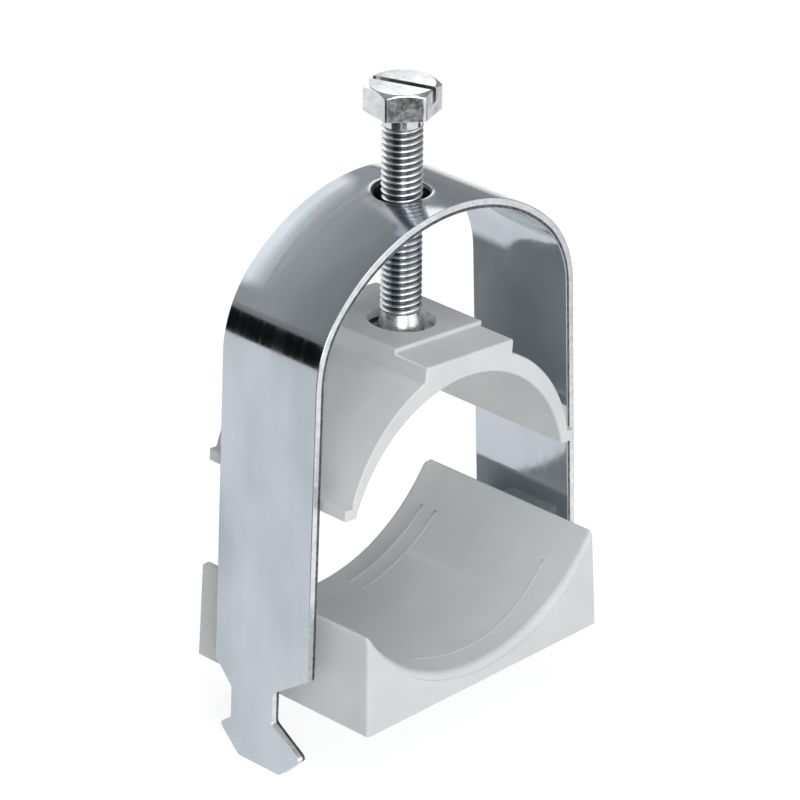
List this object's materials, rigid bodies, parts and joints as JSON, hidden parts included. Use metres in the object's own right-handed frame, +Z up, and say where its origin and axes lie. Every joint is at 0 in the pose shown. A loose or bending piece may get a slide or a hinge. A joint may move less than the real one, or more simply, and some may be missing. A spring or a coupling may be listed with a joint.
{
  "type": "bow clamp for cable",
  "caption": "Steel bow clamp that holds a cable on a slotted rail between a pressure trough under a hexagon screw and a plastic counter trough.",
  "frame": {"origin": "middle of the counter trough's underside, which rests on the rail's top face", "axes": "+X along the rail, across the strap's two legs; +Y along the cable; +Z up, along the clamp screw towards its head"},
  "size_m": [0.0752, 0.0458, 0.1284],
  "materials": {
    "bow_zinc": "bright zinc-plated strip steel with polished faces and bright cut edges",
    "screw_zinc": "bright zinc-plated screw steel",
    "plate_zinc": "plain zinc-plated steel",
    "upper_plastic": "light grey moulded plastic, fine matt",
    "lower_plastic": "light grey moulded plastic, fine matt"
  },
  "bodies": {
    "frame": {"bow_strap": "bow_zinc", "counter_trough": "lower_plastic"},
    "plate_carrier": {"pressure_plate": "plate_zinc"},
    "screw": {"clamp_screw": "screw_zinc"},
    "saddle": {"pressure_trough": "upper_plastic"}
  },
  "joints": [
    {"name": "plate_travel", "type": "slide", "parent": "frame", "child": "plate_carrier", "axis": [0, 0, 1], "range_m": [-0.0155, 0.014]},
    {"name": "screw_turn", "type": "hinge", "parent": "plate_carrier", "child": "screw", "pos_m": [0, 0, 0.06475], "axis": [0, 0, 1], "range_deg": [-4465, 4033]},
    {"name": "saddle_tilt", "type": "hinge", "parent": "plate_carrier", "child": "saddle", "pos_m": [0, 0, 0.06475], "axis": [0, -1, 0], "range_deg": [0, 9]}
  ],
  "couplings": [
    {"joint": "screw_turn", "follows": "plate_travel", "rad_per_m": 5026.5}
  ]
}
